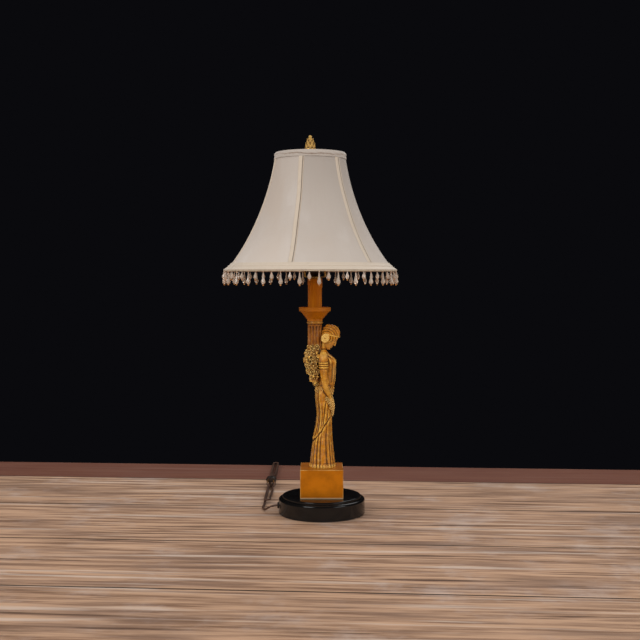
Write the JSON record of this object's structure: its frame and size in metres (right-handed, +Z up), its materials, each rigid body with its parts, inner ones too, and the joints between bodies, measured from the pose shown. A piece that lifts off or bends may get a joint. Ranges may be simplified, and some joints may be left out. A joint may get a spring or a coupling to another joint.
{
  "type": "table lamp",
  "caption": "Figural table lamp: standing draped figure against a fluted column on a block and round base, bell shade with a bead fringe.",
  "frame": {"origin": "centre of the round base's underside, on the table", "axes": "+Z up, the figure faces +X, the cord leaves towards -X"},
  "size_m": [0.3626, 0.7103, 0.7755],
  "materials": {
    "felt": "matt black felt",
    "black_gloss": "black gloss lacquer on turned wood",
    "steel": "zinc plated",
    "ochre_resin": "amber ochre satin lacquer",
    "antique_gold": "antique gold over brown",
    "flower_gold": "antique gold with dark recesses",
    "candle": "amber wax finish",
    "brass": "lacquered",
    "dark_bronze": "dark bronze",
    "phenolic": "black phenolic",
    "card": "insulating fibre",
    "bulb_glass": "frosted glass",
    "aluminium": "plain",
    "cream_silk": "cream faux silk",
    "lining": "white styrene",
    "white_wire": "white enamelled wire",
    "cream_trim": "cream braid",
    "crystal": "champagne acrylic crystal",
    "gold": "polished gold",
    "brown_cord": "dark brown vinyl",
    "black_plastic": "dark brown vinyl"
  },
  "bodies": {
    "lamp": {"felt_pad": "felt", "base_disc": "black_gloss", "base_washer": "steel", "base_locknut": "steel", "plinth_block": "ochre_resin", "lamp_pipe": "steel", "lead_inside": "brown_cord", "cord_bushing": "black_plastic", "figure_casting": "antique_gold", "flower_bunch": "flower_gold", "fluted_column": "ochre_resin", "candle_cup": "ochre_resin", "candle_cover": "candle", "check_ring": "brass", "harp_saddle": "brass", "socket_cap": "dark_bronze", "socket_shell": "dark_bronze", "socket_liner": "card", "socket_core": "phenolic", "screw_shell": "aluminium", "centre_contact": "brass", "harp": "brass", "cord_free": "brown_cord", "cord_hank": "brown_cord", "cord_tie": "black_plastic", "plug_body": "black_plastic", "plug_blades": "brass"},
    "shade": {"shade_fabric": "cream_silk", "shade_lining": "lining", "top_trim": "cream_trim", "bottom_trim": "cream_trim", "seam_trims": "cream_trim", "shade_ribs": "white_wire", "shade_top_ring": "white_wire", "shade_bottom_ring": "white_wire", "shade_spider": "brass", "bead_tape": "brown_cord", "beads_long": "crystal", "beads_short": "crystal"},
    "finial": {"finial": "gold"},
    "bulb": {"bulb_cap": "aluminium", "bulb_glass": "bulb_glass"},
    "switch": {"switch_knob": "phenolic"},
    "sleeve_rear": {"harp_sleeve_rear": "brass"},
    "sleeve_front": {"harp_sleeve_front": "brass"}
  },
  "joints": [
    {"name": "shade_turn", "type": "hinge", "parent": "lamp", "child": "shade", "pos_m": [-0.0235, 0, 0.725], "axis": [0, 0, 1], "continuous": true},
    {"name": "finial_turn", "type": "hinge", "parent": "lamp", "child": "finial", "pos_m": [-0.0235, 0, 0.73], "axis": [0, 0, 1], "continuous": true},
    {"name": "bulb_turn", "type": "hinge", "parent": "lamp", "child": "bulb", "pos_m": [-0.014, 0, 0.52], "axis": [0, 0, 1], "continuous": true},
    {"name": "switch_turn", "type": "hinge", "parent": "lamp", "child": "switch", "pos_m": [-0.014, 0.02, 0.5168], "axis": [0, 1, 0], "continuous": true},
    {"name": "sleeve_rear_slide", "type": "slide", "parent": "lamp", "child": "sleeve_rear", "axis": [0, 0, 1], "range_m": [0, 0.008]},
    {"name": "sleeve_front_slide", "type": "slide", "parent": "lamp", "child": "sleeve_front", "axis": [0, 0, 1], "range_m": [0, 0.008]}
  ]
}
